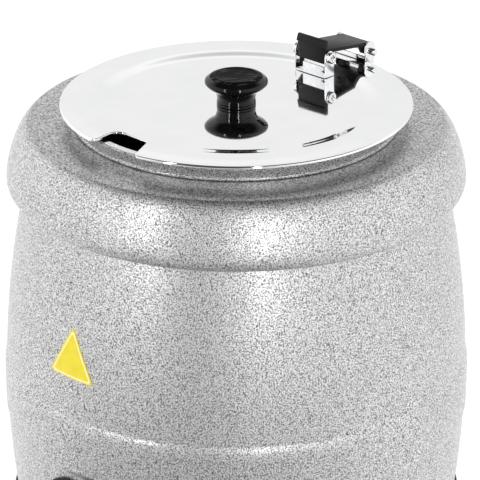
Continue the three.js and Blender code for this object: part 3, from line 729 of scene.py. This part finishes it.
def dense(points, step):
    """The same outline with points no further apart than step."""
    made = []
    for a, b in zip(points, points[1:] + points[:1]):
        n = max(1, math.ceil(math.dist(a, b) / step))
        made += [(a[0] + (b[0] - a[0]) * k / n, a[1] + (b[1] - a[1]) * k / n) for k in range(n)]
    return made


THROUGH_LID = (LID_Z - 10, LID_Z + 10)
HINGE_CUT_HALF, HINGE_CUT_FROM, PAST_EDGE = 16.5, 120.5, 140


def cut_notch(bm):
    prism(bm, notch_outline(0), *THROUGH_LID, Z)


def cut_hinge_notch(bm):
    half, start = HINGE_CUT_HALF, HINGE_CUT_FROM
    outline = rounded([(-half, PAST_EDGE), (-half, start, 3), (half, start, 3), (half, PAST_EDGE)])
    prism(bm, outline, *THROUGH_LID, Z)


lid = new_mesh("lid_skin", lambda bm: turn_profile(bm, lid_profile(), 288), "stainless", 40)
carve(lid, cut_notch)
carve(lid, cut_hinge_notch)
lid.data.set_sharp_from_angle(angle=math.radians(40))
stand_for(lid, "lid")
lip = new_mesh("lid_notch_lip", lid_lip, "stainless", 40)
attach(lip, "lid")


# ---- lid knob -----------------------------------------------------------------------
KNOB_TOP_FROM = 20  # its top disc lies above this height


def above_middle(*points):
    return [(r, MIDDLE_Z + h, radius) for r, h, radius in points]


knob_outline = rounded(above_middle(
    (0, 0.3, 0), (14.0, 0.3, 0.5), (13.9, 1.8, 0.3), (13.3, 2.1, 0), (13.9, 2.4, 0.3), (13.6, 5, 6),
    (14.8, 10.0, 8), (20.6, 13.8, 5), (22.6, 16.0, 2.2), (22.3, 18.4, 2.4), (18.8, 20.8, 4),
    (15.4, 21.8, 1.6), (13.6, 21.4, 2), (0, 21.0, 0),
), closed=False, steps=7)
lid_knob = lathe("lid_knob", knob_outline, sides=112, sharp=50)
lid_knob.data.materials.append(materials["knob_top"])
for face in lid_knob.data.polygons:
    if face.normal.z > 0.9 and face.center.z > (MIDDLE_Z + KNOB_TOP_FROM) * MM:
        face.material_index = 1


# ---- hinge --------------------------------------------------------------------------
def ear(y0, y1, bottom, top_centre):
    """Outline of a bracket ear: a strip with a round top."""
    r, middle = (y1 - y0) / 2, (y0 + y1) / 2
    arc = [(middle + r * math.cos(math.pi * k / 14), top_centre + r * math.sin(math.pi * k / 14))
           for k in range(15)]
    return [(y0, bottom), (y1, bottom)] + arc


def box_outline(a0, a1, b0, b1):
    return [(a0, b0), (a1, b0), (a1, b1), (a0, b1)]


def ears(bm, outline, bevel=0.35):
    for side in (1, -1):
        a, b = sorted((side * (EAR_OUT - EAR), side * EAR_OUT))
        prism(bm, outline, a, b, X, bevel)


WEB_LEFT = -6.5  # the lid bracket's web is cut short on the left


def lid_bracket(bm):
    """Two ears, the web between them in front, and the sole riveted to the lid."""
    bottom = low("lid_bracket", Z)
    ears(bm, ear(77.7, 87.3, bottom, FRONT_PIN[1]))
    prism(bm, box_outline(77.2, 78.4, bottom, LID_Z + 7.6), WEB_LEFT, EAR_OUT - 0.2, X, 0.3)
    prism(bm, box_outline(77.4, 88, bottom, bottom + EAR), -EAR_OUT + 0.8, EAR_OUT - 0.8, X, 0.3)


def rim_bracket(bm):
    """Two ears, the web between them, and a flap riveted to the collar."""
    bottom = LID_Z - 3
    ears(bm, ear(121.6, 132, bottom, LID_Z + 10))
    prism(bm, box_outline(121.6, 122.8, bottom, LID_Z + 4.2), -EAR_OUT + 0.2, EAR_OUT - 0.2, X, 0.3)
    flap = rounded([(-9, LID_Z - 12.5, 2), (9, LID_Z - 12.5, 2), (9, LID_Z - 2.2), (-9, LID_Z - 2.2)])
    prism(bm, flap, 118.6, 122.8, Y, 0.3)


stand_for(new_mesh("lid_bracket_skin", lid_bracket, "chrome"), "lid_bracket")
stand_for(new_mesh("rim_bracket_skin", rim_bracket, "chrome"), "rim_bracket")


def screw_head(bm, place, radius, length, face):
    """A pan head on the bracket's right side, and its shank; cross_recess cuts a cross recess where one is
    wanted.
    """
    y, z = place
    shank = radius * 0.42
    profile = rounded([(0, -18), (shank, -18), (shank, face), (radius, face, 0.3),
                       (radius, face + length, length * 0.55), (0, face + length)], closed=False)
    turn_profile(bm, profile, 40, Matrix.Translation((0, y, z)) @ TO_RIGHT)


def cross_recess(bm, place, radius, top):
    """The solid that leaves a cross-shaped recess in a pan head."""
    y, z = place
    corner = ((0.5, radius), (0.5, 0.5), (radius, 0.5))
    quarters = ((1, 1, 1), (1, -1, -1), (-1, -1, 1), (-1, 1, -1))
    cross = [(y + sy * a, z + sz * b) for sy, sz, order in quarters for a, b in corner[::order]]
    prism(bm, cross, top - 1.1, top + 1, X)


def nut(bm, place, radius, length, face):
    """A cap nut on the bracket's left side."""
    y, z = place
    profile = rounded([(0, -face), (radius, -face, 0.3), (radius, -face - length, length * 0.45),
                       (0, -face - length)], closed=False)
    turn_profile(bm, profile, 40, Matrix.Translation((0, y, z)) @ TO_RIGHT)


PIN_FACE = EAR_OUT + 0.3
front_pin = new_mesh("front_pin_skin", lambda bm: screw_head(bm, FRONT_PIN, 4.3, 2.6, PIN_FACE), "chrome")
carve(front_pin, lambda bm: cross_recess(bm, FRONT_PIN, 2.1, PIN_FACE + 2.6))
stand_for(front_pin, "front_pin")
rear_pin = new_mesh("rear_pin_skin", lambda bm: screw_head(bm, REAR_PIN, 2.7, 4.6, PIN_FACE), "chrome")
stand_for(rear_pin, "rear_pin")
stand_for(new_mesh("front_nut_skin", lambda bm: nut(bm, FRONT_PIN, 4.2, 3.0, PIN_FACE), "chrome"),
          "front_pin_nut")
stand_for(new_mesh("rear_nut_skin", lambda bm: nut(bm, REAR_PIN, 2.9, 3.4, PIN_FACE), "chrome"),
          "rear_pin_nut")


def lever(bm):
    """Moulded lever: a front plate with a proud lip, a sloping top plate, ribs and lugs."""
    h = LID_Z
    half = LEVER_HALF
    front = rounded([(78.9, h + 8.9, 0.5), (81.9, h + 8.9, 0.5), (81.9, h + 26.9, 0.8), (79.2, h + 26.9, 0.8),
                     (77.6, h + 21.7, 0.3), (79.2, h + 21.0, 0.2)], steps=3)
    prism(bm, front, -half, half, X, 0.35)
    top = [(80.5, h + 17.3), (128.8, h + 11.0), (128.8, h + 13.7), (80.5, h + 20.1)]
    prism(bm, top, -half, half, X, 0.45)
    fy, fz = FRONT_PIN
    ry, rz = REAR_PIN
    for side in (1, -1):
        a, b = sorted((side * half, side * (half - 2)))
        rib = rounded([(81, fz - 3, 1), (fy + 3.4, fz - 2, 2), (fy + 8, h + 17.5, 2), (81, h + 19)], steps=3)
        prism(bm, rib, a, b, X, 0.3)
        a, b = sorted((side * 6.6, side * half))
        lug = rounded([(121, h + 12.6, 2), (129, h + 12, 0.5), (ry + 3.6, rz + 0.6, 2),
                       (ry + 2.4, rz - 3.2, 2), (ry - 2.6, rz - 2.8, 2)], steps=3)
        prism(bm, lug, a, b, X, 0.3)
    turn_profile(bm, rounded([(0, -half), (3.4, -half), (3.4, half), (0, half)], closed=False), 32,
                 Matrix.Translation((0, fy, fz)) @ TO_RIGHT)


stand_for(new_mesh("hinge_lever_skin", lever, "black_plastic"), "hinge_lever")


def rivet(bm, base, direction, radius, height):
    """A domed rivet head standing on base, facing along direction."""
    dome = [(radius * math.cos(a), height * math.sin(a)) for a in [math.pi / 2 * k / 6 for k in range(7)]]
    turn = Vector((0, 0, 1)).rotation_difference(Vector(direction)).to_matrix().to_4x4()
    turn_profile(bm, [(0, -2.0), (radius * 0.5, -2.0), (radius * 0.5, 0)] + dome[:-1] + [(0, height)], 28,
                 Matrix.Translation(base) @ turn)


def riveted(node, *spot):
    stand_for(new_mesh(node + "_skin", lambda bm: rivet(bm, *spot), "zinc"), node)


for k, side in ((1, -1), (2, 1)):
    riveted(f"lid_rivet_{k}", (side * 7, 85, SHELF_Z + 1.8), (0, 0, 1), 3, 1.2)
    riveted(f"rim_rivet_{k}", (side * 5, 123.1, LID_Z - 8), (0, 1, 0), 2.9, 1.3)


# ---- label --------------------------------------------------------------------------
LABEL_LOW, LABEL_HIGH = low("label_triangle", Z), high("label_triangle", Z)
LABEL_HALF = high("label_triangle", X)
FILM_RISE = 0.5
BORDER = ((0.0, 0.84, 0), (0.84, 0.92, 1), (0.92, 1.0, 0))  # rings from the middle out, and their film


def label(bm):
    corners = [(-LABEL_HALF, LABEL_LOW, 1.6), (LABEL_HALF, LABEL_LOW, 1.6), (0, LABEL_HIGH, 1.6)]
    outline = dense(rounded(corners, steps=4), 2.5)
    centre = Vector((0, LABEL_LOW + (LABEL_HIGH - LABEL_LOW) / 3))

    def spot(p, t, rise):
        """A point t of the way from the middle to the outline, laid on the barrel."""
        x, z = centre + (Vector(p) - centre) * t
        r = barrel(z) - BELT_RISE + rise
        return bm.verts.new((x, -math.sqrt(r * r - x * x), z))

    for start, end, film in BORDER:
        steps = 8 if start == 0 else 2
        for k in range(steps):
            t0, t1 = (start + (end - start) * j / steps for j in (k, k + 1))
            inner, outer = ([spot(p, t, FILM_RISE) for p in outline] for t in (t0, t1))
            for i in range(len(outline)):
                n = (i + 1) % len(outline)
                corners = (inner[i], inner[n], outer[n], outer[i])
                if t0 == 0:
                    corners = (inner[i], outer[n], outer[i])
                bm.faces.new(corners).material_index = film
    edge, foot = [spot(p, 1, FILM_RISE) for p in outline], [spot(p, 1.004, 0.0) for p in outline]
    for i in range(len(outline)):
        n = (i + 1) % len(outline)
        bm.faces.new((edge[i], edge[n], foot[n], foot[i]))


triangle = new_mesh("label_film", label, "yellow_label", 60)
triangle.data.materials.append(materials["label_border"])
stand_for(triangle, "label_triangle")


# ---- base and feet ------------------------------------------------------------------
BASE_R = high("base_ring", X)
BASE_LOW, BASE_TOP = low("base_ring", Z), high("base_ring", Z)
BASE_IN, BASE_WALL_IN, BASE_LIP_IN = 150, 160.5, 163.9
lathe("base_ring", rounded([
    (BASE_IN, BASE_LOW + 12), (BASE_WALL_IN, BASE_LOW + 12, 1), (BASE_WALL_IN, BASE_LOW, 0.6),
    (163.6, BASE_LOW, 1.5), (BASE_R, BASE_LOW + 4, 2), (BASE_R, BASE_TOP, 1.2),
    (BASE_LIP_IN, BASE_TOP, 0.5), (BASE_LIP_IN, BODY_BOTTOM - 0.4), (BASE_IN, BODY_BOTTOM - 0.4),
]))

for k in range(1, 5):
    node = f"foot_{k}"
    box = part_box(node)
    centre = (box[0] + box[1]) / 2 / MM
    top = high(node, Z)
    outline = rounded([(5, 0, 0.5), (10.6, 0, 0.8), (12.4, top, 1.0), (2.5, top), (2.5, 9.5), (5, 9.5)])
    lathe(node, outline, sides=48, matrix=Matrix.Translation((centre.x, centre.y, 0)))


# ---- controls -----------------------------------------------------------------------
AT_CONTROL = Matrix.Translation((0, 0, CONTROL_Z)) @ TO_FRONT
bezel = new_mesh("control_bezel_skin", lambda bm: turn_profile(bm, rounded([
    (7, 156), (BEZEL_R, 152), (BEZEL_R, BEZEL_FACE, 1.2), (7, BEZEL_FACE, 0.4),
]), 128, AT_CONTROL), "black_plastic")


def barrel_space(bm):
    outline = [(0, 10)] + [(barrel(z) - 0.5, z) for z in range(10, 121, 10)] + [(0, 120)]
    turn_profile(bm, outline, SIDES)


carve(bezel, barrel_space)
stand_for(bezel, "control_bezel")

KNOB_BACK = -high("control_knob", Y)
KNOB_TIP = -low("control_knob", Y)


RIDGES = 36
RIDGES_AT = 20.2
GRIP_HALF = 14.3  # from the axis to the middle of the grip's round end
GRIP_ROUND = 3.5


def control_knob(bm):
    """A skirt with fine ridges round its edge, and a bar to grip across its face."""
    back = KNOB_BACK
    skirt = rounded([(0, back + 2.4), (18, back + 2.4), (18, back), (20.5, back, 0.4),
                     (20, back + 5, 1.2), (17.5, back + 6.4, 1.0), (0, back + 6.4)], closed=False)
    turn_profile(bm, skirt, 96, AT_CONTROL)
    ridge = [(0.0, back + 1), (0.5, back + 1), (0.45, back + 5), (0, back + 5)]
    for k in range(RIDGES):
        a = TAU * k / RIDGES
        place = (RIDGES_AT * math.cos(a), 0, CONTROL_Z + RIDGES_AT * math.sin(a))
        turn_profile(bm, ridge, 6, Matrix.Translation(place) @ TO_FRONT)
    grip = []
    for middle, start in ((GRIP_HALF, 0), (-GRIP_HALF, math.pi)):
        for k in range(13):
            a = start + math.pi * k / 12
            grip.append((GRIP_ROUND * math.cos(a), CONTROL_Z + middle + GRIP_ROUND * math.sin(a)))
    prism(bm, grip, -KNOB_TIP, -back - 5, Y, 0.9, 3)


stand_for(new_mesh("control_knob_skin", control_knob, "black_plastic"), "control_knob")


def line_on_knob(bm):
    low_end, high_end = CONTROL_Z + 6, CONTROL_Z + 16.4
    corners = [(-0.6, low_end, 0.5), (0.6, low_end, 0.5), (0.6, high_end, 0.5), (-0.6, high_end, 0.5)]
    prism(bm, rounded(corners, steps=3), -KNOB_TIP, -KNOB_TIP + 0.5, Y)


pointer = new_mesh("knob_pointer", line_on_knob, "print")
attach(pointer, "dial")

DIAL_MARKS = 6
DIAL_FIRST, DIAL_LAST = math.radians(50), math.radians(290)
TICKS_FROM = 21.6
FIGURES_AT = 26.6
FIGURE_HEIGHT = 4.4
PRINT_DEPTH = 0.04


def ticks(bm):
    """Print on the bezel: a long tick at each figure and short ones between, plus one at rest."""
    count = (DIAL_MARKS - 1) * 4
    angles = [0.0] + [DIAL_FIRST + (DIAL_LAST - DIAL_FIRST) * k / count for k in range(count + 1)]
    for k, a in enumerate(angles):
        length = 2.0 if k == 0 or (k - 1) % 4 == 0 else 1.0
        across, along = Vector((math.cos(a), -math.sin(a))), Vector((math.sin(a), math.cos(a)))
        end = TICKS_FROM + length
        corners = [along * r + across * w + Vector((0, CONTROL_Z)) for r, w in
                   ((TICKS_FROM, -0.2), (TICKS_FROM, 0.2), (end, 0.2), (end, -0.2))]
        prism(bm, [tuple(c) for c in corners], -BEZEL_FACE - 0.06, -BEZEL_FACE + 0.2, Y)


marks = new_mesh("dial_ticks", ticks, "print")
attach(marks, "root")


def figure(text, angle):
    """A dial figure as a thin mesh on the bezel's face."""
    curve = bpy.data.curves.new("figure", "FONT")
    curve.body = text
    curve.size = FIGURE_HEIGHT * MM
    curve.align_x = "CENTER"
    curve.align_y = "CENTER"
    curve.extrude = PRINT_DEPTH * MM
    holder = bpy.data.objects.new("figure", curve)
    bpy.context.scene.collection.objects.link(holder)
    bpy.context.view_layer.update()
    mesh = bpy.data.meshes.new_from_object(holder.evaluated_get(bpy.context.evaluated_depsgraph_get()))
    bpy.data.objects.remove(holder)
    across, up = math.sin(angle) * FIGURES_AT, math.cos(angle) * FIGURES_AT
    spot = Vector((across, -BEZEL_FACE - PRINT_DEPTH, CONTROL_Z + up)) * MM
    mesh.transform(Matrix.Translation(spot) @ TO_FRONT)
    mesh.materials.clear()
    mesh.materials.append(materials["print"])
    made = bpy.data.objects.new(f"dial_figure_{text}", mesh)
    bpy.context.scene.collection.objects.link(made)
    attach(made, "root")


figure("0", 0.0)
for k in range(DIAL_MARKS):
    figure(str(k + 1), DIAL_FIRST + (DIAL_LAST - DIAL_FIRST) * k / (DIAL_MARKS - 1))

lamp_turn = Matrix.Rotation(LAMP_TURN, 4, "Z") @ AT_CONTROL
seat = barrel(CONTROL_Z) - 0.5
lathe("pilot_lamp", rounded([
    (0, LAMP_BACK), (4.9, LAMP_BACK), (4.9, seat), (6.6, seat, 0.3), (6.4, seat + 1.4, 0.4),
    (5.6, seat + 1.5, 0.2), (4.6, seat + 3.4, 1.2), (0, seat + 4.2),
], closed=False), sides=64, matrix=lamp_turn)

for k, side in ((1, -1), (2, 1)):
    node = f"bezel_screw_{k}"
    face = BEZEL_FACE + 0.3
    lathe(node, rounded([(0, SCREW_BACK), (1.9, SCREW_BACK), (1.9, face), (3.4, face, 0.2),
                         (3.2, face + 1.4, 1.0), (0, face + 1.4)], closed=False),
          sides=32, matrix=Matrix.Translation((side * 14, 0, CONTROL_Z)) @ TO_FRONT)

# ---- cord gland ---------------------------------------------------------------------
GLAND_Z = (low("cord_gland", Z) + high("cord_gland", Z)) / 2
GLAND_END = high("cord_gland", Y)
gland_outline = [(4, -GLAND_END), (6.2, -GLAND_END, 0.6)]
for k in range(4):
    y = GLAND_END - 2.4 - 3.4 * k
    r = 6.4 + 0.32 * k
    gland_outline += [(r, -y - 0.01, 0.2), (r - 0.8, -y + 0.6, 0.2), (r - 0.8, -y + 1.2, 0.2),
                      (r + 0.2, -y + 1.6, 0.2)]
gland_outline += [(8, -171), (11, -171, 0.8), (11, -167.2, 0.5), (8, -167.2), (8, -152), (4, -152)]
lathe("cord_gland", rounded(gland_outline, steps=2), sides=64,
      matrix=Matrix.Translation((0, 0, GLAND_Z)) @ TO_FRONT)

# ---- CAD nodes that stay ------------------------------------------------------------
for node, item in frame["nodes"].items():
    if not item.hide_render:
        for place in item.material_slots:
            place.material = materials[slots[node]]
